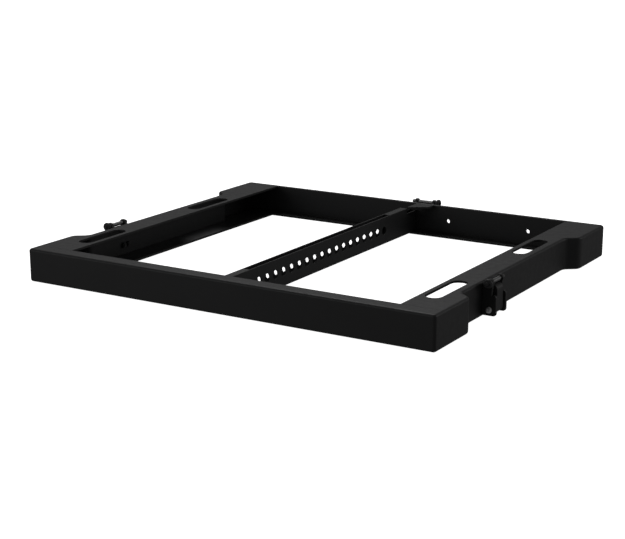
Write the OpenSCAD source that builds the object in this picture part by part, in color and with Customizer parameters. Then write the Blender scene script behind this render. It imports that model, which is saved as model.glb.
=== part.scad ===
// Flying frame for a column of loudspeakers: a welded steel rectangle with two
// channel-shaped side rails that step inwards between wider ends, a twin-plate
// centre beam drilled with pick points, and three link brackets on the outside.
// +X to the right, +Y to the rear, +Z up; the origin is under the middle of the frame.

/* [Frame] */
// overall width over the wide ends of the side rails
frame_w = 1100; // [900:10:1300]
// front face of the front beam to rear face of the rear web
frame_d = 960; // [800:10:1100]
// height of the frame
frame_h = 82; // [70:1:100]
// front-to-back depth of the hollow front beam
front_beam_d = 39; // [30:1:60]
// wall of the hollow front beam
front_beam_wall = 4; // [3:0.5:6]
// corner radius of the hollow front beam
front_beam_r = 6; // [3:0.5:8]
// thickness of the rear web
rear_web_t = 10; // [6:1:14]
// depth of the lip along the foot of the rear web
rear_lip_d = 27; // [15:1:40]

/* [Side rails] */
// thickness of the stepped side web
side_web_t = 8; // [6:1:12]
// thickness of the rail flanges
flange_t = 6; // [4:0.5:10]
// distance the rail steps in between its wide ends
rail_step = 32; // [20:1:45]
// length of each wide end
wide_end_len = 163; // [120:1:220]
// length of the slanted step
step_len = 24; // [10:1:40]
// inner edge of the flanges, measured from the middle of the frame
flange_inner_x = 447; // [400:1:480]
// bend radius at the steps
step_r = 7; // [2:1:12]
// width of the long slots in the top flanges
slot_w = 38; // [20:1:42]
// end-to-end length of the long slots
slot_len = 160; // [120:1:220]
// middle of the front slot, behind the front face
slot_front_at = 194; // [150:1:240]
// middle of the rear slot, behind the front face
slot_rear_at = 646; // [560:1:700]

/* [Centre beam] */
// overall width of the twin-plate beam
beam_w = 22; // [16:1:40]
// thickness of each beam plate
beam_plate_t = 3; // [2:0.5:6]
// underside of the beam above the underside of the frame
beam_z0 = 5; // [0:1:15]
// height of the beam plates
beam_h = 72; // [50:1:80]
// diameter of the pick points
pick_d = 22; // [14:1:26]
// spacing of the pick points
pick_pitch = 35.5; // [28:0.5:50]
// number of pick points
pick_count = 18; // [6:1:20]
// first pick point, behind the front face
pick_first_at = 160; // [140:1:200]
// length of the front packing block
front_block_len = 87; // [40:1:110]
// front end of the rear packing block, behind the front face
rear_block_at = 797; // [780:1:840]
// length of the rear packing block
rear_block_len = 96; // [40:1:110]
// height cut out of the top corner of each beam plate at the rear
beam_notch_h = 14; // [0:1:30]
// width of the slanted tab beside the beam on top of the rear web
tab_w = 51; // [30:1:80]
// depth of the tab next to the beam
tab_d = 60; // [30:1:70]

/* [Rear web holes] */
// diameter of the two accessory holes
acc_hole_d = 12; // [6:1:16]
// distance of the first accessory hole from the middle
acc_hole_x = 106; // [60:1:160]
// spacing of the two accessory holes
acc_hole_gap = 235; // [100:1:300]

/* [Link brackets] */
// middle of the side brackets, behind the front face
bracket_at = 321; // [280:1:400]
// outer width over the two cheeks
bracket_w = 60; // [40:1:70]
// middle of the rear bracket, to the right of the middle of the frame
rear_bracket_x = 24; // [-60:1:60]
// thickness of each cheek
cheek_t = 8; // [5:1:12]
// how far the cheeks stand out from the rail
bracket_reach = 34; // [28:1:45]
// thickness of the bracket back plate
bracket_back_t = 5; // [4:0.5:8]
// foot of the bracket above the underside of the frame
bracket_z0 = 5; // [0:1:10]
// distance of the pins from the mounting face
pin_x = 18; // [16:1:22]
// height of the link pivot
pivot_z = 19; // [17:1:24]
// height of the parked lock pin
lock_z = 81; // [80:1:90]
// radius of the ear round the lock pin
ear_r = 8.5; // [8:0.5:12]

/* [Links and pins] */
// thickness of the link
link_t = 32; // [16:1:40]
// radius of the link's rounded ends
link_r = 12.5; // [10:0.5:14]
// hole to hole length of the link
link_len = 43; // [36:1:46]
// diameter of the pivot bolt
pivot_d = 12; // [8:1:14]
// diameter of the lock pin
lock_d = 10; // [6:1:12]
// radius of the lock pin's round knob
knob_r = 11; // [8:0.5:16]
// clearance between a turning or sliding pin and its hole, on the radius
run_gap = 0.06; // [0.02:0.01:0.1]

/* [Hidden] */
$fn = 48;
eps = 0.01;
front_y = -(frame_d + bracket_reach) / 2;
rear_y = front_y + frame_d;
half_w = frame_w / 2;
rail_x = half_w - rail_step;
web_in_y = rear_y - rear_web_t;
beam_back_y = front_y + front_beam_d;
bracket_y = front_y + bracket_at;
gap_half = bracket_w / 2 - cheek_t;
washer_t = gap_half - link_t / 2;
screw_z = [30, 62];
paint = [0.12, 0.12, 0.12];
zinc = [0.75, 0.76, 0.78];

// ---------- shared shapes ----------

// outline of the outer side of a right-hand rail, from front to rear, inset by d
function rail_edge(d) = [
  [half_w - d, front_y],
  [half_w - d, front_y + wide_end_len - d * 0.35],
  [rail_x - d, front_y + wide_end_len + step_len - d * 0.35],
  [rail_x - d, rear_y - wide_end_len - step_len + d * 0.35],
  [half_w - d, rear_y - wide_end_len + d * 0.35],
  [half_w - d, rear_y]];

// stepped strip between two insets of the rail outline
module rail_strip(d0, d1) {
  a = rail_edge(d0);
  b = rail_edge(d1);
  polygon(concat(a, [for (i = [len(b) - 1 : -1 : 0]) b[i]]));
}

// long slot with round ends, lying along Y
module long_slot(at) {
  x = (flange_inner_x + rail_x) / 2 - 4;
  for (s = [-1, 1])
    translate([x, front_y + at + s * (slot_len - slot_w) / 2]) circle(d = slot_w);
  translate([x - slot_w / 2, front_y + at - (slot_len - slot_w) / 2])
    square([slot_w, slot_len - slot_w]);
}

// flat plan of a right-hand flange, slotted or plain
module flange_plan(slotted) {
  difference() {
    intersection() {
      translate([flange_inner_x, beam_back_y]) square([half_w, web_in_y - beam_back_y]);
      polygon(concat(rail_edge(side_web_t), [[0, rear_y], [0, front_y]]));
    }
    if (slotted) { long_slot(slot_front_at); long_slot(slot_rear_at); }
  }
}

// stands a bracket drawn in its own frame on the right rail, left rail or rear web
module at_right() { translate([rail_x, bracket_y, 0]) children(); }
module at_left() { mirror([1, 0, 0]) at_right() children(); }
module at_rear() { translate([rear_bracket_x, rear_y, 0]) rotate([0, 0, 90]) children(); }

// round bar along the bracket's own Y
module y_rod(r, y0, y1, z) {
  translate([pin_x, y0, z]) rotate([-90, 0, 0]) cylinder(r = r, h = y1 - y0);
}
// hexagon along the bracket's own Y
module y_hex(af, y0, y1, z) {
  translate([pin_x, y0, z]) rotate([-90, 0, 0]) cylinder(d = af / cos(30), h = y1 - y0, $fn = 6);
}
// puts children at the four screw places of a bracket
module screw_places() {
  for (y = [-9, 9]) for (z = screw_z) translate([0, y, z]) rotate([0, 90, 0]) children();
}

// ---------- frame ----------

// rolled hollow section between the two side webs
module front_beam() {
  color(paint)
    translate([-half_w + side_web_t, front_y + front_beam_d / 2, frame_h / 2])
      rotate([90, 0, 90])
        linear_extrude(frame_w - 2 * side_web_t)
          difference() {
            offset(r = front_beam_r) square([front_beam_d - 2 * front_beam_r, frame_h - 2 * front_beam_r], center = true);
            offset(r = front_beam_r - front_beam_wall)
              square([front_beam_d - 2 * front_beam_r, frame_h - 2 * front_beam_r], center = true);
          }
}

// upright plate across the back with two accessory holes and the bracket screw holes
module rear_web() {
  color(paint)
    difference() {
      translate([-half_w + side_web_t, web_in_y, 0])
        cube([frame_w - 2 * side_web_t, rear_web_t, frame_h]);
      for (x = [acc_hole_x, acc_hole_x + acc_hole_gap])
        translate([x, web_in_y - 1, frame_h / 2]) rotate([-90, 0, 0])
          cylinder(d = acc_hole_d, h = rear_web_t + 2);
      at_rear() screw_places() translate([0, 0, -rear_web_t - 1]) cylinder(r = 4.2, h = rear_web_t + 2);
    }
}

// flat strip along the foot of the rear web
module rear_lip() {
  color(paint)
    translate([-flange_inner_x, web_in_y - rear_lip_d, 0])
      cube([2 * flange_inner_x, rear_lip_d, flange_t]);
}

// stepped outer plate of a rail, holed for its bracket
module side_web() {
  color(paint)
    difference() {
      linear_extrude(frame_h)
        offset(r = -step_r / 2) offset(delta = step_r / 2) offset(r = step_r / 2) offset(delta = -step_r / 2)
          rail_strip(0, side_web_t);
      at_right() screw_places() translate([0, 0, -side_web_t - 1]) cylinder(r = 4.2, h = side_web_t + 2);
    }
}
module side_web_right() { side_web(); }
module side_web_left() { mirror([1, 0, 0]) side_web(); }

// slotted top flange of a rail
module top_flange() {
  color(paint) translate([0, 0, frame_h - flange_t]) linear_extrude(flange_t) flange_plan(true);
}
module top_flange_right() { top_flange(); }
module top_flange_left() { mirror([1, 0, 0]) top_flange(); }

// plain bottom flange of a rail
module bottom_flange() { color(paint) linear_extrude(flange_t) flange_plan(false); }
module bottom_flange_right() { bottom_flange(); }
module bottom_flange_left() { mirror([1, 0, 0]) bottom_flange(); }

// ---------- centre beam ----------

// one drilled plate of the centre beam, notched at its rear top corner
module centre_plate() {
  color(paint)
    difference() {
      translate([beam_w / 2 - beam_plate_t, beam_back_y, beam_z0])
        cube([beam_plate_t, web_in_y - beam_back_y, beam_h]);
      translate([beam_w / 2 - beam_plate_t - 1, front_y + rear_block_at + rear_block_len, beam_z0 + beam_h - beam_notch_h])
        cube([beam_plate_t + 2, frame_d, beam_notch_h + 1]);
      translate([beam_w / 2 - beam_plate_t - 1, web_in_y - rear_lip_d, 0])
        cube([beam_plate_t + 2, frame_d, flange_t]);
      for (i = [0 : pick_count - 1])
        translate([beam_w / 2 - beam_plate_t - 1, front_y + pick_first_at + i * pick_pitch, frame_h / 2])
          rotate([0, 90, 0]) cylinder(d = pick_d, h = beam_plate_t + 2);
    }
}
module centre_plate_right() { centre_plate(); }
module centre_plate_left() { mirror([1, 0, 0]) centre_plate(); }

// packing block between the two plates
module centre_block(y0, length) {
  color(paint)
    translate([-beam_w / 2 + beam_plate_t, y0, beam_z0])
      cube([beam_w - 2 * beam_plate_t, length, beam_h]);
}
module centre_block_front() { centre_block(beam_back_y, front_block_len); }
module centre_block_rear() { centre_block(front_y + rear_block_at, rear_block_len); }

// slanted tab welded inside the top edge of the rear web, beside the beam
module rear_tab() {
  color(paint)
    translate([beam_w / 2 + 0.5, web_in_y, frame_h - flange_t])
      linear_extrude(flange_t)
        polygon([[0, 0], [tab_w, 0], [tab_w, -tab_d * 0.45], [0, -tab_d]]);
}

// ---------- link brackets ----------

// U-shaped bracket: back plate and two eared cheeks
module bracket() {
  color(paint)
    difference() {
      union() {
        translate([0, -gap_half - eps, bracket_z0])
          cube([bracket_back_t, 2 * (gap_half + eps), frame_h - bracket_z0 - 8]);
        for (y = [-bracket_w / 2, gap_half])
          translate([0, y + cheek_t, 0]) rotate([90, 0, 0])
            linear_extrude(cheek_t)
              hull() {
                translate([0, bracket_z0]) square([bracket_reach - 6, 2]);
                translate([bracket_reach - 6, bracket_z0 + 6]) circle(r = 6);
                translate([bracket_reach - 6, frame_h - 16]) circle(r = 6);
                translate([0, frame_h - 8]) square([4, 2]);
                translate([pin_x, lock_z]) circle(r = ear_r);
              }
      }
      y_rod(pivot_d / 2 + run_gap, -bracket_w, bracket_w, pivot_z);
      y_rod(lock_d / 2 + run_gap, -bracket_w, bracket_w, lock_z);
      screw_places() {
        translate([0, 0, -1]) cylinder(r = 4.2, h = bracket_back_t + 2);
        translate([0, 0, bracket_back_t - 4]) cylinder(r1 = 4.2, r2 = 8.2 + eps, h = 4 + eps);
      }
    }
}
module bracket_right() { at_right() bracket(); }
module bracket_left() { at_left() bracket(); }
module bracket_rear() { at_rear() bracket(); }

// folded link that turns on the pivot bolt
module link() {
  color(paint)
    difference() {
      translate([0, link_t / 2, 0]) rotate([90, 0, 0])
        linear_extrude(link_t)
          hull() for (z = [pivot_z, pivot_z + link_len]) translate([pin_x, z]) circle(r = link_r);
      y_rod(pivot_d / 2 + run_gap, -link_t, link_t, pivot_z);
      y_rod(lock_d / 2 + run_gap, -link_t, link_t, pivot_z + link_len);
    }
}
module link_right() { at_right() link(); }
module link_left() { at_left() link(); }
module link_rear() { at_rear() link(); }

// round-headed pivot bolt, its nut, and the two spacer washers of one bracket
module pivot_bolt() {
  y_rod(pivot_d / 2, -bracket_w / 2 - eps, bracket_w / 2 + 11, pivot_z);
  y_rod(7.5, -bracket_w / 2 - 5, -bracket_w / 2, pivot_z);
}
module pivot_nut() {
  difference() {
    y_hex(19, bracket_w / 2, bracket_w / 2 + 10, pivot_z);
    y_rod(pivot_d / 2, bracket_w / 2 - 1, bracket_w / 2 + 11, pivot_z);
  }
}
module washer_pair() {
  for (y = [-gap_half + 0.03, link_t / 2 + 0.03])
    difference() {
      y_rod(11, y, y + washer_t - 0.06, pivot_z);
      y_rod(pivot_d / 2 + run_gap, y - 1, y + washer_t + 1, pivot_z);
    }
}
module pivot_bolts() { color(zinc) { at_right() pivot_bolt(); at_left() pivot_bolt(); at_rear() pivot_bolt(); } }
module pivot_nuts() { color(zinc) { at_right() pivot_nut(); at_left() pivot_nut(); at_rear() pivot_nut(); } }
module link_washers() { color([0.2, 0.2, 0.2]) { at_right() washer_pair(); at_left() washer_pair(); at_rear() washer_pair(); } }

// countersunk screws through the back plate into the web, standing out by tail
module screw_set(web_t, tail) {
  screw_places() {
    translate([0, 0, -web_t - tail]) cylinder(r = 4, h = web_t + tail + bracket_back_t - 4);
    translate([0, 0, bracket_back_t - 4 - eps]) cylinder(r1 = 4, r2 = 7.9, h = 4 - 0.1);
  }
}
module nut_set(web_t) {
  screw_places() translate([0, 0, -web_t - 6.5])
    difference() {
      cylinder(d = 13 / cos(30), h = 6.5, $fn = 6);
      translate([0, 0, -1]) cylinder(r = 4, h = 9);
    }
}
module bracket_screws() {
  color(paint) { at_right() screw_set(side_web_t, 8); at_left() screw_set(side_web_t, 8); at_rear() screw_set(rear_web_t, -1); }
}
module bracket_nuts() {
  color(paint) { at_right() nut_set(side_web_t); at_left() nut_set(side_web_t); }
}

// lock pin parked through the two ears, with its collar, round knob and release button
module lock_pin() {
  color(zinc) {
    y_rod(lock_d / 2, -bracket_w / 2 - 2, bracket_w / 2 + 8, lock_z);
    y_rod(lock_d / 2 - 1.2, bracket_w / 2 + 8 - eps, bracket_w / 2 + 10, lock_z);
    y_rod(7, -bracket_w / 2 - 4, -bracket_w / 2 - 0.2, lock_z);
    y_rod(knob_r, -bracket_w / 2 - 13, -bracket_w / 2 - 4 + eps, lock_z);
    y_rod(4, -bracket_w / 2 - 16, -bracket_w / 2 - 13 + eps, lock_z);
  }
}
module lock_pin_right() { at_right() lock_pin(); }
module lock_pin_left() { at_left() lock_pin(); }
module lock_pin_rear() { at_rear() lock_pin(); }

front_beam();
rear_web();
rear_lip();
side_web_left();
side_web_right();
top_flange_left();
top_flange_right();
bottom_flange_left();
bottom_flange_right();
centre_plate_left();
centre_plate_right();
centre_block_front();
centre_block_rear();
rear_tab();
bracket_left();
bracket_right();
bracket_rear();
link_left();
link_right();
link_rear();
pivot_bolts();
pivot_nuts();
link_washers();
bracket_screws();
bracket_nuts();
lock_pin_left();
lock_pin_right();
lock_pin_rear();
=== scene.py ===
import math

import bmesh
import bpy
from mathutils import Matrix, Vector
from mathutils.geometry import tessellate_polygon


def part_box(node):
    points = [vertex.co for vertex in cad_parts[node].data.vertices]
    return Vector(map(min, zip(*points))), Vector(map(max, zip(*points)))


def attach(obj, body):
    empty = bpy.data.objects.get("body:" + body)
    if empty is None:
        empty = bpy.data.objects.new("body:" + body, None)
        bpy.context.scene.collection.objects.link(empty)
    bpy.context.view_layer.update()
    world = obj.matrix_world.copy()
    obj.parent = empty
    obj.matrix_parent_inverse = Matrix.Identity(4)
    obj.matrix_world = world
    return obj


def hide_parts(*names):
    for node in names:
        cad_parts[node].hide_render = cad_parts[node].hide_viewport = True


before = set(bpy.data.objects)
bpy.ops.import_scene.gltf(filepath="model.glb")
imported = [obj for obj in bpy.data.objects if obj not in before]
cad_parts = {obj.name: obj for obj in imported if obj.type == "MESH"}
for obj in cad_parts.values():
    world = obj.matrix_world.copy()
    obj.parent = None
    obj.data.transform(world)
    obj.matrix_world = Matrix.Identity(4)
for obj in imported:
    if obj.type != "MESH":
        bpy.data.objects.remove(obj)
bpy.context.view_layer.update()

# ---------------------------------------------------------------------------
# The studio: a broad white floor, a wide soft light high behind the frame, a weaker
# one low at the rear right and one low at the front left. The camera stands to the
# right of the front beam, three and a half metres off, and looks slightly down.
# ---------------------------------------------------------------------------
scene = bpy.context.scene
scene.view_settings.view_transform = "Standard"

camera_data = bpy.data.cameras.new("camera")
camera_data.lens = 84.66
camera_data.shift_x = -0.0119
camera_data.shift_y = 0.0338
camera = bpy.data.objects.new("camera", camera_data)
camera.location = (1.838, -3.079, 0.9325)
camera.rotation_euler = (math.radians(74.49), 0, math.radians(31.21))
scene.collection.objects.link(camera)
scene.camera = camera


def soft_light(name, place, size, power):
    """Square softbox at place, turned to face the frame."""
    data = bpy.data.lights.new(name, "AREA")
    data.size = size
    data.energy = power
    lamp = bpy.data.objects.new(name, data)
    lamp.location = place
    lamp.rotation_euler = (-Vector(place)).to_track_quat("-Z", "Y").to_euler()
    scene.collection.objects.link(lamp)


soft_light("high_softbox", (-2.2, 2.9, 5.4), 3.4, 135)
soft_light("right_softbox", (3.3, 2.3, 1.2), 2.2, 18)
soft_light("front_left_softbox", (-2.6, -3.9, 1.1), 2.2, 22)

world = bpy.data.worlds.new("studio_air")
world.use_nodes = True
scene.world = world
air = world.node_tree
air.nodes["Background"].inputs["Color"].default_value = (1, 1, 1, 1)
air.nodes["Background"].inputs["Strength"].default_value = 0.12
seen = air.nodes.new("ShaderNodeBackground")
seen.inputs["Color"].default_value = (1, 1, 1, 1)
seen.inputs["Strength"].default_value = 1.0
ray = air.nodes.new("ShaderNodeLightPath")
choose = air.nodes.new("ShaderNodeMixShader")
air.links.new(ray.outputs["Is Camera Ray"], choose.inputs[0])
air.links.new(air.nodes["Background"].outputs[0], choose.inputs[1])
air.links.new(seen.outputs[0], choose.inputs[2])
air.links.new(choose.outputs[0], air.nodes["World Output"].inputs["Surface"])

FLOOR_REACH = 60
floor_corners = [(x * FLOOR_REACH, y * FLOOR_REACH, 0) for x, y in ((-1, -1), (1, -1), (1, 1), (-1, 1))]
floor_mesh = bpy.data.meshes.new("floor")
floor_mesh.from_pydata(floor_corners, [], [(0, 1, 2, 3)])
floor = bpy.data.objects.new("floor", floor_mesh)
scene.collection.objects.link(floor)
floor_paint = bpy.data.materials.new("white_floor")
floor_paint.use_nodes = True
floor_shader = floor_paint.node_tree.nodes["Principled BSDF"]
floor_shader.inputs["Base Color"].default_value = (0.9, 0.9, 0.9, 1)
floor_shader.inputs["Roughness"].default_value = 0.9
floor_shader.inputs["Specular IOR Level"].default_value = 0.0
floor_shader.inputs["Emission Color"].default_value = (1, 1, 1, 1)
floor_shader.inputs["Emission Strength"].default_value = 1.0
floor_mesh.materials.append(floor_paint)
floor.visible_diffuse = False
floor.visible_glossy = False

# ---------------------------------------------------------------------------
# Front beam: rolled steel hollow section with rounded long edges, cut to fit
# between the two side webs. All welded steel is blasted, then powder coated a
# satin black with a fine orange-peel texture and a slightly uneven gloss.
# ---------------------------------------------------------------------------
MM = 0.001


def node_link(tree, start, start_socket, end, end_socket):
    """Joins two nodes of a material."""
    tree.links.new(start.outputs[start_socket], end.inputs[end_socket])


def noise(tree, place, scale, detail=3.0):
    """Noise texture read at place, with scale in features per metre."""
    texture = tree.nodes.new("ShaderNodeTexNoise")
    texture.inputs["Scale"].default_value = scale
    texture.inputs["Detail"].default_value = detail
    node_link(tree, place, "Object", texture, "Vector")
    return texture


def spread(tree, texture, low, high):
    """Turns a texture's middle range into values from low to high."""
    mapped = tree.nodes.new("ShaderNodeMapRange")
    for socket, value in (("From Min", 0.35), ("From Max", 0.65), ("To Min", low), ("To Max", high)):
        mapped.inputs[socket].default_value = value
    node_link(tree, texture, "Fac", mapped, "Value")
    return mapped


def two_tones(tree, factor, first, second):
    """Mixes two colours by a 0 to 1 factor node."""
    mix = tree.nodes.new("ShaderNodeMix")
    mix.data_type = "RGBA"
    mix.inputs["A"].default_value = (*first, 1)
    mix.inputs["B"].default_value = (*second, 1)
    node_link(tree, factor, "Result", mix, "Factor")
    return mix


def new_finish(name, metallic, specular):
    """Material with its shader's constants set; returns the material, tree, shader and coordinates."""
    finish = bpy.data.materials.new(name)
    finish.use_nodes = True
    tree = finish.node_tree
    shader = tree.nodes["Principled BSDF"]
    shader.inputs["Metallic"].default_value = metallic
    shader.inputs["Specular IOR Level"].default_value = specular
    return finish, tree, shader, tree.nodes.new("ShaderNodeTexCoord")


def roughen(tree, shader, texture, strength, depth):
    """Bump on the shader from a texture, depth in metres."""
    bump = tree.nodes.new("ShaderNodeBump")
    bump.inputs["Strength"].default_value = strength
    bump.inputs["Distance"].default_value = depth
    node_link(tree, texture, "Fac", bump, "Height")
    node_link(tree, bump, "Normal", shader, "Normal")


def powder_coat():
    """Satin black powder coat: orange peel, faint patches, slightly uneven gloss."""
    finish, tree, shader, place = new_finish("black_powder_coat", 0.0, 0.32)
    patches = spread(tree, noise(tree, place, 9.0, 5.0), 0.0, 1.0)
    node_link(tree, two_tones(tree, patches, (0.0170, 0.0170, 0.0175), (0.0195, 0.0195, 0.0200)),
              "Result", shader, "Base Color")
    node_link(tree, spread(tree, noise(tree, place, 60.0), 0.46, 0.53), "Result", shader, "Roughness")
    roughen(tree, shader, noise(tree, place, 900.0, 2.0), 0.35, 0.12 * MM)
    return finish


coat = powder_coat()


def rounded(corners, step=12):
    """Polyline of (u, v, edge) from corners (u, v, arc radius, edge).

    The edge is the rounding of the side that leaves the corner.
    """
    line = []
    for i, (u, v, r, edge) in enumerate(corners):
        here = Vector((u, v))
        if not r:
            line.append((u, v, edge))
            continue
        before = (Vector(corners[i - 1][:2]) - here).normalized()
        after = (Vector(corners[(i + 1) % len(corners)][:2]) - here).normalized()
        half = before.angle(after) / 2
        centre = here + (before + after).normalized() * (r / math.sin(half))
        start = here + before * (r / math.tan(half)) - centre
        turn = math.pi - 2 * half
        sign = 1 if after.cross(before) > 0 else -1
        count = max(2, math.ceil(math.degrees(turn) / step))
        for k in range(count + 1):
            a = sign * turn * k / count
            spoke = Matrix.Rotation(a, 2) @ start
            line.append((centre.x + spoke.x, centre.y + spoke.y, edge))
    return line


def circle(u, v, r, edge, count=40):
    """Round hole, clockwise so that its left side is the material round it."""
    turns = [-2 * math.pi * k / count for k in range(count)]
    return [(u + r * math.cos(a), v + r * math.sin(a), edge) for a in turns]


def edge_inset(edge, drop):
    """How far a side with this edge rounding lies inwards, at drop from the plate's face."""
    if drop >= edge:
        return 0.0
    return edge - math.sqrt(max(0, edge * edge - (edge - drop) ** 2))


def inset_line(line, drop):
    """The closed line with each side moved to its left by its rounding at drop."""
    sides = []
    for i, (u, v, edge) in enumerate(line):
        a, b = Vector((u, v)), Vector(line[(i + 1) % len(line)][:2])
        left = Vector((a.y - b.y, b.x - a.x)).normalized() * edge_inset(edge, drop)
        sides.append((a + left, b + left))
    moved = []
    for i, (a, b) in enumerate(sides):
        c, d = sides[i - 1]
        cross = (b - a).normalized().cross((d - c).normalized())
        if abs(cross) < STRAIGHT:
            moved.append(a)
        else:
            along = (c - a).cross(d - c) / (b - a).cross(d - c)
            moved.append(a + (b - a) * along)
    return moved


AXES = {"xy": (0, 1, 2), "yz": (1, 2, 0), "zx": (2, 0, 1)}
STRAIGHT = 1e-4
NO_AREA = 1e-14


def add_plate(bm, plane, outline, holes, low, high, steps=4):
    """Adds a plate cut to outline and holes in plane, with rounded edges.

    It reaches from low to high along the plane's normal. The outline runs
    counter-clockwise and the holes clockwise.
    """
    edges = sorted({e for line in (outline, *holes) for *_, e in line if e})
    drops = {0.0}
    for e in edges:
        drops |= {round(e * (1 - math.sin(math.pi / 2 * k / steps)), 9) for k in range(steps + 1)}
    drops = sorted(drops)
    levels = [(low + d, d) for d in drops] + [(high - d, d) for d in reversed(drops)]
    rings = []
    for height, drop in levels:
        level = []
        for line in (outline, *holes):
            points = []
            for p in inset_line(line, drop):
                place = [0, 0, 0]
                for axis, value in zip(AXES[plane], (p.x, p.y, height)):
                    place[axis] = value
                points.append(bm.verts.new(place))
            level.append(points)
        rings.append(level)
    for lower, upper in zip(rings, rings[1:]):
        for a, b in zip(lower, upper):
            for i in range(len(a)):
                j = (i + 1) % len(a)
                bm.faces.new((a[i], a[j], b[j], b[i]))
    across, up, _ = AXES[plane]
    for level, faces_down in ((rings[0], True), (rings[-1], False)):
        flat = [v for ring in level for v in ring]
        drawn = [[Vector((v.co[across], v.co[up], 0)) for v in ring] for ring in level]
        for triangle in tessellate_polygon(drawn):
            corner = [flat[k] for k in triangle]
            a, b, c = (Vector((v.co[across], v.co[up])) for v in corner)
            area = (b - a).cross(c - a)
            if (area < 0) != faces_down:
                corner.reverse()
            if abs(area) > NO_AREA:
                bm.faces.new(corner)


WELD_GAP = 0.002 * MM
SHARP_ANGLE = math.radians(32)


def finished_piece(name, bm, finish, body, slot, *nodes):
    """Makes the mesh a smooth-shaded piece in its finish, on its body, standing for its CAD nodes."""
    bmesh.ops.remove_doubles(bm, verts=bm.verts, dist=WELD_GAP)
    mesh = bpy.data.meshes.new(name)
    bm.to_mesh(mesh)
    bm.free()
    mesh.shade_smooth()
    mesh.set_sharp_from_angle(angle=SHARP_ANGLE)
    mesh.materials.append(finish)
    piece = bpy.data.objects.new(name, mesh)
    scene.collection.objects.link(piece)
    normals = piece.modifiers.new("flat_faces_stay_flat", "WEIGHTED_NORMAL")
    normals.keep_sharp = True
    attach(piece, body)
    if nodes:
        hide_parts(*nodes)


def tube_section(low, high, wall, front, rear):
    """Rectangle in (y, z) that lies wall inside the beam's box, with front and rear corner radii."""
    near, far = low.y + wall, high.y - wall
    foot, top = low.z + wall, high.z - wall
    return rounded([(near, foot, front, 0), (far, foot, rear, 0), (far, top, rear, 0), (near, top, front, 0)])


beam_low, beam_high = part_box("front_beam")
BEAM_EDGE = 6 * MM
BEAM_WALL = 4 * MM
FILLED_EDGE = 0.6 * MM
bore_edge = BEAM_EDGE - BEAM_WALL
bm = bmesh.new()
add_plate(bm, "yz", tube_section(beam_low, beam_high, 0, BEAM_EDGE, FILLED_EDGE),
          [tube_section(beam_low, beam_high, BEAM_WALL, bore_edge, bore_edge)[::-1]],
          beam_low.x, beam_high.x)
finished_piece("front_beam_tube", bm, coat, "frame", "black_paint", "front_beam")

# ---------------------------------------------------------------------------
# Side webs: 8 mm plate, pressed inwards over the middle of each rail and welded
# to the ends of the front beam and the rear web. The outer edges are rounded
# over to the same radius as the beam, so the corners run on without a step.
# ---------------------------------------------------------------------------
web_low, web_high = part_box("side_web_right")
flange_low, flange_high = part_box("top_flange_right")
bracket_low, bracket_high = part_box("bracket_right")
WEB_THICK = 8 * MM
RAIL_STEP = web_high.x - bracket_low.x
WIDE_END = 163 * MM
STEP_LENGTH = 24 * MM
BEND = 22 * MM
INNER_BEND = BEND - WEB_THICK
INNER_CORNER = 3 * MM
END_CORNER = 7 * MM
BEND_SHIFT = 0.35 * WEB_THICK


def mirrored(bm):
    """Turns a right-hand mesh into the left-hand one."""
    bmesh.ops.scale(bm, vec=(-1, 1, 1), verts=bm.verts)
    bmesh.ops.reverse_faces(bm, faces=bm.faces)


def web_outline():
    """Plan of the right-hand side web, from its front outer corner towards the rear."""
    out, recess = web_high.x, web_high.x - RAIL_STEP
    front, rear = web_low.y, web_high.y
    front_bend, front_recess = front + WIDE_END, front + WIDE_END + STEP_LENGTH
    rear_recess, rear_bend = rear - WIDE_END - STEP_LENGTH, rear - WIDE_END
    return rounded([
        (out - WEB_THICK, front, 0, BEAM_EDGE), (out, front, END_CORNER, BEAM_EDGE),
        (out, front_bend, BEND, BEAM_EDGE), (recess, front_recess, BEND, BEAM_EDGE),
        (recess, rear_recess, BEND, BEAM_EDGE), (out, rear_bend, BEND, BEAM_EDGE),
        (out, rear, END_CORNER, BEAM_EDGE), (out - WEB_THICK, rear, 0, 0),
        (out - WEB_THICK, rear_bend + BEND_SHIFT, INNER_CORNER, 0),
        (recess - WEB_THICK, rear_recess + BEND_SHIFT, INNER_BEND, 0),
        (recess - WEB_THICK, front_recess - BEND_SHIFT, INNER_BEND, 0),
        (out - WEB_THICK, front_bend - BEND_SHIFT, INNER_CORNER, 0)])


for side in ("right", "left"):
    bm = bmesh.new()
    add_plate(bm, "xy", web_outline(), [], web_low.z, web_high.z, steps=5)
    if side == "left":
        mirrored(bm)
    finished_piece("side_web_plate_" + side, bm, coat, "frame", "black_paint", "side_web_" + side)

# ---------------------------------------------------------------------------
# Rail flanges: 6 mm plates welded flush along the top and foot of each web. The
# top ones have two long hand slots each, the bottom ones are plain. Free edges
# are broken by hand, and the flush seams are ground away before coating.
# ---------------------------------------------------------------------------
SLOT_WIDTH = 38 * MM
SLOT_LENGTH = 160 * MM
SLOT_MIDDLES = (194 * MM, 646 * MM)
SLOT_INWARDS = 4 * MM
FREE_EDGE = 1.2 * MM
slot_x = (flange_low.x + web_high.x - RAIL_STEP) / 2 - SLOT_INWARDS


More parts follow.
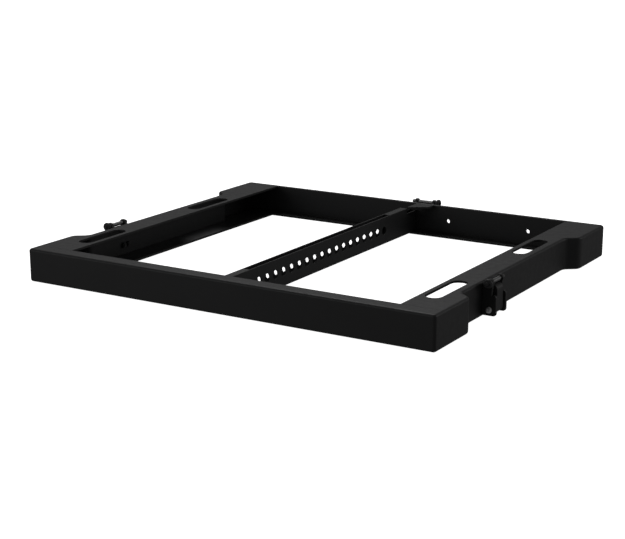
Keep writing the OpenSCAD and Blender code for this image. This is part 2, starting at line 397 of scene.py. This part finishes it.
def flange_outline():
    """Plan of a right-hand flange: it follows the inside of the web."""
    inner, wide = flange_low.x, web_high.x - WEB_THICK
    narrow = wide - RAIL_STEP
    front_bend = web_low.y + WIDE_END - BEND_SHIFT
    rear_bend = web_high.y - WIDE_END + BEND_SHIFT
    return rounded([
        (inner, flange_low.y, 0, 0), (wide, flange_low.y, 0, 0),
        (wide, front_bend, INNER_CORNER, 0), (narrow, front_bend + STEP_LENGTH, INNER_BEND, 0),
        (narrow, rear_bend - STEP_LENGTH, INNER_BEND, 0), (wide, rear_bend, INNER_CORNER, 0),
        (wide, flange_high.y, 0, 0), (inner, flange_high.y, 0, FREE_EDGE)])


def hand_slot(middle):
    """Long hole with half-round ends about its middle behind the front face, clockwise."""
    end = 0.999 * SLOT_WIDTH / 2
    left, right = slot_x - SLOT_WIDTH / 2, slot_x + SLOT_WIDTH / 2
    near = web_low.y + middle - SLOT_LENGTH / 2
    far = near + SLOT_LENGTH
    return rounded([(left, near, end, FREE_EDGE), (left, far, end, FREE_EDGE),
                    (right, far, end, FREE_EDGE), (right, near, end, FREE_EDGE)], step=9)


for side in ("right", "left"):
    for level, slots in (("top", SLOT_MIDDLES), ("bottom", ())):
        low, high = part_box(level + "_flange_" + side)
        bm = bmesh.new()
        add_plate(bm, "xy", flange_outline(), [hand_slot(middle) for middle in slots], low.z, high.z)
        if side == "left":
            mirrored(bm)
        finished_piece(level + "_flange_plate_" + side, bm, coat, "frame", "black_paint",
                       level + "_flange_" + side)

# ---------------------------------------------------------------------------
# Rear web and its lip: a 10 mm plate on edge between the side webs with a flat
# strip along its foot. Two small through holes in the right half take an
# inclinometer or a laser. The top edge is rounded over.
# ---------------------------------------------------------------------------
rear_low, rear_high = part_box("rear_web")
lip_low, lip_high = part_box("rear_lip")
ACCESSORY_HOLES = (106 * MM, 341 * MM)
ACCESSORY_RADIUS = 6 * MM
WEB_TOP_EDGE = 3 * MM
SCREW_RADIUS = 4.2 * MM
SCREW_SPREAD = 9 * MM
SCREW_HEIGHTS = (30 * MM, 62 * MM)
rear_bracket_x = 0.5 * (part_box("bracket_rear")[0].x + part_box("bracket_rear")[1].x)

bm = bmesh.new()
middle_height = 0.5 * (rear_low.z + rear_high.z)
drilled = [circle(middle_height, x, ACCESSORY_RADIUS, 0.8 * MM) for x in ACCESSORY_HOLES]
drilled += [circle(z, rear_bracket_x + x, SCREW_RADIUS, 0.3 * MM, 24)
            for z in SCREW_HEIGHTS for x in (-SCREW_SPREAD, SCREW_SPREAD)]
add_plate(bm, "zx", [(rear_low.z, rear_low.x, 0), (rear_high.z, rear_low.x, WEB_TOP_EDGE),
                     (rear_high.z, rear_high.x, 0), (rear_low.z, rear_high.x, FREE_EDGE)],
          drilled, rear_low.y, rear_high.y)
finished_piece("rear_web_plate", bm, coat, "frame", "black_paint", "rear_web")

bm = bmesh.new()
add_plate(bm, "xy", [(lip_low.x, lip_low.y, FREE_EDGE), (lip_high.x, lip_low.y, 0),
                     (lip_high.x, lip_high.y, 0), (lip_low.x, lip_high.y, 0)], [], lip_low.z, lip_high.z)
finished_piece("rear_lip_strip", bm, coat, "frame", "black_paint", "rear_lip")

# ---------------------------------------------------------------------------
# Centre beam: two 3 mm plates set on edge either side of a packing block at
# each end, with a row of round pick points bored through both. A shackle pin
# goes through the pair. The top rear corner of each plate is cut down.
# ---------------------------------------------------------------------------
plate_low, plate_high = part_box("centre_plate_right")
PICK_RADIUS = 11 * MM
PICK_PITCH = 35.5 * MM
PICK_COUNT = 18
PICK_FIRST = 160 * MM
NOTCH_HEIGHT = 14 * MM
CUT_EDGE = 0.6 * MM
rear_block_low, rear_block_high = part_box("centre_block_rear")

for side in ("right", "left"):
    bm = bmesh.new()
    notch_y, notch_z = rear_block_high.y, plate_high.z - NOTCH_HEIGHT
    outline = [(plate_low.y, plate_low.z, CUT_EDGE), (lip_low.y, plate_low.z, 0),
               (lip_low.y, lip_high.z, 0), (plate_high.y, lip_high.z, 0),
               (plate_high.y, notch_z, CUT_EDGE), (notch_y, notch_z, CUT_EDGE),
               (notch_y, plate_high.z, CUT_EDGE), (plate_low.y, plate_high.z, 0)]
    holes = [circle(web_low.y + PICK_FIRST + i * PICK_PITCH, 0.5 * web_high.z, PICK_RADIUS, CUT_EDGE)
             for i in range(PICK_COUNT)]
    add_plate(bm, "yz", outline, holes, plate_low.x, plate_high.x, steps=3)
    if side == "left":
        mirrored(bm)
    finished_piece("centre_beam_plate_" + side, bm, coat, "frame", "black_paint", "centre_plate_" + side)

for end in ("front", "rear"):
    low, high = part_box("centre_block_" + end)
    bm = bmesh.new()
    add_plate(bm, "xy", [(low.x, low.y, 0), (high.x, low.y, 0), (high.x, high.y, 0), (low.x, high.y, 0)],
              [], low.z, high.z)
    finished_piece("centre_beam_block_" + end, bm, coat, "frame", "black_paint", "centre_block_" + end)

tab_low, tab_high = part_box("rear_tab")
TAB_CORNER = 3 * MM
tab_taper = tab_high.y - 0.45 * (tab_high.y - tab_low.y)
bm = bmesh.new()
add_plate(bm, "xy", rounded([
    (tab_low.x, tab_high.y, 0, FREE_EDGE), (tab_low.x, tab_low.y, TAB_CORNER, FREE_EDGE),
    (tab_high.x, tab_taper, TAB_CORNER, FREE_EDGE), (tab_high.x, tab_high.y, 0, 0)]),
          [], tab_low.z, tab_high.z)
finished_piece("rear_tab_plate", bm, coat, "frame", "black_paint", "rear_tab")

# ---------------------------------------------------------------------------
# Link brackets: a back plate and two eared cheeks welded into a U, screwed to
# each side web and to the rear web. The lower holes carry the link's pivot
# bolt, the ears above the rail carry the parked lock pin.
# ---------------------------------------------------------------------------
BRACKET_WIDTH = bracket_high.y - bracket_low.y
HALF_BRACKET = BRACKET_WIDTH / 2
CHEEK = 8 * MM
REACH = 34 * MM
BACK = 5 * MM
FOOT = bracket_low.z
BACK_TOP = web_high.z - 8 * MM
NOSE_TOP = web_high.z - 10 * MM
NOSE_CORNER = 6 * MM
PIN_OUT = 18 * MM
PIVOT_HEIGHT = 19 * MM
PIVOT_BORE = 6.06 * MM
LOCK_HEIGHT = 81 * MM
LOCK_BORE = 5.06 * MM
EAR = 8.5 * MM
CHEEK_EDGE = 1.0 * MM
BORE_EDGE = 0.5 * MM

right_place = Matrix.Translation((bracket_low.x, 0.5 * (bracket_low.y + bracket_high.y), 0))
left_place = Matrix.Scale(-1, 4, (1, 0, 0)) @ right_place
rear_place = Matrix.Translation((rear_bracket_x, rear_high.y, 0)) @ Matrix.Rotation(math.pi / 2, 4, "Z")
STATIONS = {"right": right_place, "left": left_place, "rear": rear_place}


def stand_at(bm, station):
    """Moves a mesh drawn at a bracket's own origin to the right rail, left rail or rear web."""
    matrix = STATIONS[station]
    bmesh.ops.transform(bm, matrix=matrix, verts=bm.verts)
    if matrix.determinant() < 0:
        bmesh.ops.reverse_faces(bm, faces=bm.faces)


def cheek_outline():
    """Side view of a cheek as (height, out): square foot, rounded nose and an ear on top."""
    points = [(z, x) for z, x, _ in rounded([(FOOT, 0, 0, 0), (FOOT, REACH, NOSE_CORNER, 0),
                                             (NOSE_TOP, REACH, NOSE_CORNER, 0)])]
    for k in range(15):
        a = math.radians(-38 + 216 * k / 14)
        points.append((LOCK_HEIGHT + EAR * math.sin(a), PIN_OUT + EAR * math.cos(a)))
    points.append((BACK_TOP, 0))
    return [(z, x, CHEEK_EDGE) for z, x in reversed(points)]


for station in STATIONS:
    bm = bmesh.new()
    gap = HALF_BRACKET - CHEEK
    bores = [circle(PIVOT_HEIGHT, PIN_OUT, PIVOT_BORE, BORE_EDGE),
             circle(LOCK_HEIGHT, PIN_OUT, LOCK_BORE, BORE_EDGE)]
    for low in (-HALF_BRACKET, gap):
        add_plate(bm, "zx", cheek_outline(), bores, low, low + CHEEK)
    screws = [circle(y, z, SCREW_RADIUS, 0, 24)
              for y in (-SCREW_SPREAD, SCREW_SPREAD) for z in SCREW_HEIGHTS]
    add_plate(bm, "yz", [(-gap, FOOT, 0), (gap, FOOT, 0), (gap, BACK_TOP, 0), (-gap, BACK_TOP, 0)],
              screws, 0, BACK)
    stand_at(bm, station)
    finished_piece("bracket_frame_" + station, bm, coat, "frame", "black_paint", "bracket_" + station)

# ---------------------------------------------------------------------------
# Links: thick bars with round ends that stand folded up between the cheeks and
# swing out and down on the pivot bolt. The free hole takes the rigging pin of
# the first cabinet. They are coated like the frame.
# ---------------------------------------------------------------------------
link_low, link_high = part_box("link_right")
LINK_THICK = link_high.y - link_low.y
LINK_END = 12.5 * MM
LINK_LENGTH = 43 * MM
LINK_EDGE = 1.5 * MM
LINK_BORE_EDGE = 0.6 * MM


def link_outline():
    """Side view of a folded link as (height, out), counter-clockwise."""
    line = []
    for centre, start in ((PIVOT_HEIGHT, 90), (PIVOT_HEIGHT + LINK_LENGTH, 270)):
        for k in range(17):
            a = math.radians(start + 180 * k / 16)
            line.append((centre + LINK_END * math.cos(a), PIN_OUT + LINK_END * math.sin(a), LINK_EDGE))
    return line


for station in STATIONS:
    bm = bmesh.new()
    bores = [circle(PIVOT_HEIGHT, PIN_OUT, PIVOT_BORE, LINK_BORE_EDGE),
             circle(PIVOT_HEIGHT + LINK_LENGTH, PIN_OUT, LOCK_BORE, LINK_BORE_EDGE)]
    add_plate(bm, "zx", link_outline(), bores, -LINK_THICK / 2, LINK_THICK / 2)
    stand_at(bm, station)
    finished_piece("link_bar_" + station, bm, coat, "link_" + station, "black_paint", "link_" + station)

# ---------------------------------------------------------------------------
# Pivot bolts, nuts and washers: zinc-plated bolts with small round socket heads
# through the cheeks, a hexagon nut on the far side and a black nylon washer each
# side of the link.
# ---------------------------------------------------------------------------
BOLT_RADIUS = 6 * MM
HEAD_RADIUS = 7.5 * MM
HEAD_HEIGHT = 5 * MM
SOCKET_RADIUS = 2.8 * MM
SOCKET_FLOOR = 2.6 * MM
NUT_ACROSS = 19 * MM
NUT_THICK = 10 * MM
THREAD_PITCH = 1.75 * MM
WASHER_RADIUS = 11 * MM
WASHER_PLAY = 0.03 * MM


def zinc_plate():
    """Bright zinc plating: pale grey metal, finely mottled, a little dull in places."""
    finish, tree, shader, place = new_finish("zinc_plating", 1.0, 0.5)
    mottled = spread(tree, noise(tree, place, 160.0, 4.0), 0.0, 1.0)
    node_link(tree, two_tones(tree, mottled, (0.56, 0.57, 0.59), (0.74, 0.74, 0.73)),
              "Result", shader, "Base Color")
    node_link(tree, spread(tree, noise(tree, place, 420.0), 0.28, 0.46), "Result", shader, "Roughness")
    roughen(tree, shader, noise(tree, place, 1500.0), 0.2, 0.05 * MM)
    return finish


def black_nylon():
    """Moulded black nylon: soft sheen with a slight grain."""
    finish, tree, shader, place = new_finish("black_nylon", 0.0, 0.4)
    grain = spread(tree, noise(tree, place, 300.0), 0.0, 1.0)
    node_link(tree, two_tones(tree, grain, (0.017, 0.017, 0.018), (0.027, 0.027, 0.028)),
              "Result", shader, "Base Color")
    node_link(tree, spread(tree, noise(tree, place, 120.0), 0.5, 0.62), "Result", shader, "Roughness")
    roughen(tree, shader, noise(tree, place, 1200.0), 0.2, 0.05 * MM)
    return finish


zinc = zinc_plate()
nylon = black_nylon()


def turn_profile(bm, profile, height, sides=40):
    """Adds a body turned about the bracket's cross axis at height.

    The profile is a list of (distance along the axis, radius).
    """
    rings = []
    for y, r in profile:
        if r < 1e-6:
            rings.append([bm.verts.new((PIN_OUT, y, height))])
            continue
        rings.append([bm.verts.new((PIN_OUT + r * math.sin(2 * math.pi * k / sides), y,
                                    height + r * math.cos(2 * math.pi * k / sides))) for k in range(sides)])
    for a, b in zip(rings, rings[1:]):
        for k in range(sides):
            n = (k + 1) % sides
            corners = [a[k % len(a)], a[n % len(a)], b[n % len(b)], b[k % len(b)]]
            bm.faces.new([v for i, v in enumerate(corners) if v not in corners[:i]])


def hexagon(u, v, across, edge):
    """Hexagon outline by its width across flats, counter-clockwise."""
    r = across / math.sqrt(3)
    turns = [math.radians(60 * k) for k in range(6)]
    return [(u + r * math.cos(a), v + r * math.sin(a), edge) for a in turns]


def thread(start, end, radius, pitch):
    """Profile of a threaded stretch, crests and roots in turn."""
    points = []
    for k in range(int((end - start) / pitch)):
        y = start + k * pitch
        points += [(y, radius), (y + pitch * 0.5, radius - 0.4 * pitch)]
    return points + [(end, radius - 0.2 * MM)]


def add_at(bm, part, station):
    """Moves a fastener to its bracket, adds it to the set and empties it for the next one."""
    stand_at(part, station)
    spare = bpy.data.meshes.new("spare")
    part.to_mesh(spare)
    bm.from_mesh(spare)
    bpy.data.meshes.remove(spare)
    part.clear()


bolts, nuts, washers = bmesh.new(), bmesh.new(), bmesh.new()
for station in STATIONS:
    part = bmesh.new()
    near, far = -HALF_BRACKET, HALF_BRACKET
    turn_profile(part, [(near - 0.5 * MM, 0), (near - 0.5 * MM, BOLT_RADIUS), (far, BOLT_RADIUS)]
                 + thread(far + 0.2 * MM, far + NUT_THICK, BOLT_RADIUS - 0.05 * MM, THREAD_PITCH)
                 + [(far + NUT_THICK + 1 * MM, 4.6 * MM), (far + NUT_THICK + 1 * MM, 0)], PIVOT_HEIGHT)
    socket_rim = SOCKET_RADIUS + 0.2 * MM
    turn_profile(part, [(near - SOCKET_FLOOR, 0), (near - SOCKET_FLOOR, SOCKET_RADIUS),
                        (near - HEAD_HEIGHT, socket_rim), (near - HEAD_HEIGHT, 5 * MM),
                        (near - HEAD_HEIGHT + 0.6 * MM, 6.6 * MM), (near - 3 * MM, HEAD_RADIUS),
                        (near, HEAD_RADIUS), (near, 0)], PIVOT_HEIGHT)
    add_at(bolts, part, station)
    add_plate(part, "zx", hexagon(PIVOT_HEIGHT, PIN_OUT, NUT_ACROSS, 0.9 * MM),
              [circle(PIVOT_HEIGHT, PIN_OUT, BOLT_RADIUS, 0.6 * MM)], far, far + NUT_THICK)
    add_at(nuts, part, station)
    for side in (-1, 1):
        inner, outer = side * LINK_THICK / 2, side * (HALF_BRACKET - CHEEK)
        add_plate(part, "zx", circle(PIVOT_HEIGHT, PIN_OUT, WASHER_RADIUS, 0.4 * MM)[::-1],
                  [circle(PIVOT_HEIGHT, PIN_OUT, PIVOT_BORE, 0.3 * MM)],
                  min(inner, outer) + WASHER_PLAY, max(inner, outer) - WASHER_PLAY)
    add_at(washers, part, station)
    part.free()
finished_piece("pivot_bolt_set", bolts, zinc, "frame", "zinc_steel", "pivot_bolts")
finished_piece("pivot_nut_set", nuts, zinc, "frame", "zinc_steel", "pivot_nuts")
finished_piece("nylon_washer_set", washers, nylon, "frame", "nylon", "link_washers")

# ---------------------------------------------------------------------------
# Bracket screws and nuts: countersunk M8 screws through the back plates, with
# hexagon nuts inside the side rails. They are coated over with the frame.
# ---------------------------------------------------------------------------
for name in ("bracket_screws", "bracket_nuts"):
    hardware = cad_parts[name]
    hardware.data.materials.clear()
    hardware.data.materials.append(coat)

# ---------------------------------------------------------------------------
# Lock pins: ground stainless quick-release pins parked through the ears. The pull
# end has a round black moulded knob with a collar and a push button, and the tip
# is tapered so that it finds the holes.
# ---------------------------------------------------------------------------
LOCK_PIN_RADIUS = 5 * MM
KNOB_RADIUS = 11 * MM
KNOB_MIDDLE = 8.7 * MM
KNOB_HALF = 4.3 * MM
KNOB_ROUND = 3 * MM
COLLAR_RADIUS = 7 * MM
BUTTON_RADIUS = 4 * MM


def ground_stainless():
    """Ground stainless steel, darkened by oil: finely mottled, with a dull shine."""
    finish, tree, shader, place = new_finish("ground_stainless", 1.0, 0.5)
    mottled = spread(tree, noise(tree, place, 220.0), 0.0, 1.0)
    node_link(tree, two_tones(tree, mottled, (0.16, 0.16, 0.16), (0.23, 0.23, 0.23)),
              "Result", shader, "Base Color")
    node_link(tree, spread(tree, noise(tree, place, 700.0), 0.34, 0.48), "Result", shader, "Roughness")
    roughen(tree, shader, noise(tree, place, 2200.0), 0.15, 0.03 * MM)
    return finish


stainless = ground_stainless()
for station in STATIONS:
    bm = bmesh.new()
    near, far = -HALF_BRACKET, HALF_BRACKET
    turn_profile(bm, [(near - 0.4 * MM, 0), (near - 0.4 * MM, LOCK_PIN_RADIUS),
                      (far + 7.4 * MM, LOCK_PIN_RADIUS), (far + 8 * MM, 4.4 * MM), (far + 8.6 * MM, 3.8 * MM),
                      (far + 9.4 * MM, 3.6 * MM), (far + 10 * MM, 3 * MM), (far + 10 * MM, 0)], LOCK_HEIGHT)
    stand_at(bm, station)
    finished_piece("ball_lock_pin_" + station, bm, stainless, "lock_pin_" + station, "pin_steel",
                   "lock_pin_" + station)
    bm = bmesh.new()
    knob = [(near - 16 * MM, 0), (near - 16 * MM, BUTTON_RADIUS - 0.8 * MM),
            (near - 15.2 * MM, BUTTON_RADIUS), (near - 13 * MM, BUTTON_RADIUS),
            (near - 12.6 * MM, COLLAR_RADIUS), (near - 13 * MM, KNOB_RADIUS - KNOB_ROUND)]
    for k in range(7):
        a = math.pi * k / 6
        knob.append((near - KNOB_MIDDLE - KNOB_HALF * math.cos(a),
                     KNOB_RADIUS - KNOB_ROUND + KNOB_ROUND * math.sin(a)))
    knob += [(near - 4 * MM, COLLAR_RADIUS), (near - 0.7 * MM, COLLAR_RADIUS),
             (near - 0.2 * MM, COLLAR_RADIUS - 0.5 * MM), (near - 0.2 * MM, 0)]
    turn_profile(bm, knob, LOCK_HEIGHT)
    stand_at(bm, station)
    finished_piece("lock_pin_grip_" + station, bm, nylon, "lock_pin_" + station, "nylon")

# ---------------------------------------------------------------------------
# The finished frame: the view layer is brought up to date.
# ---------------------------------------------------------------------------
bpy.context.view_layer.update()
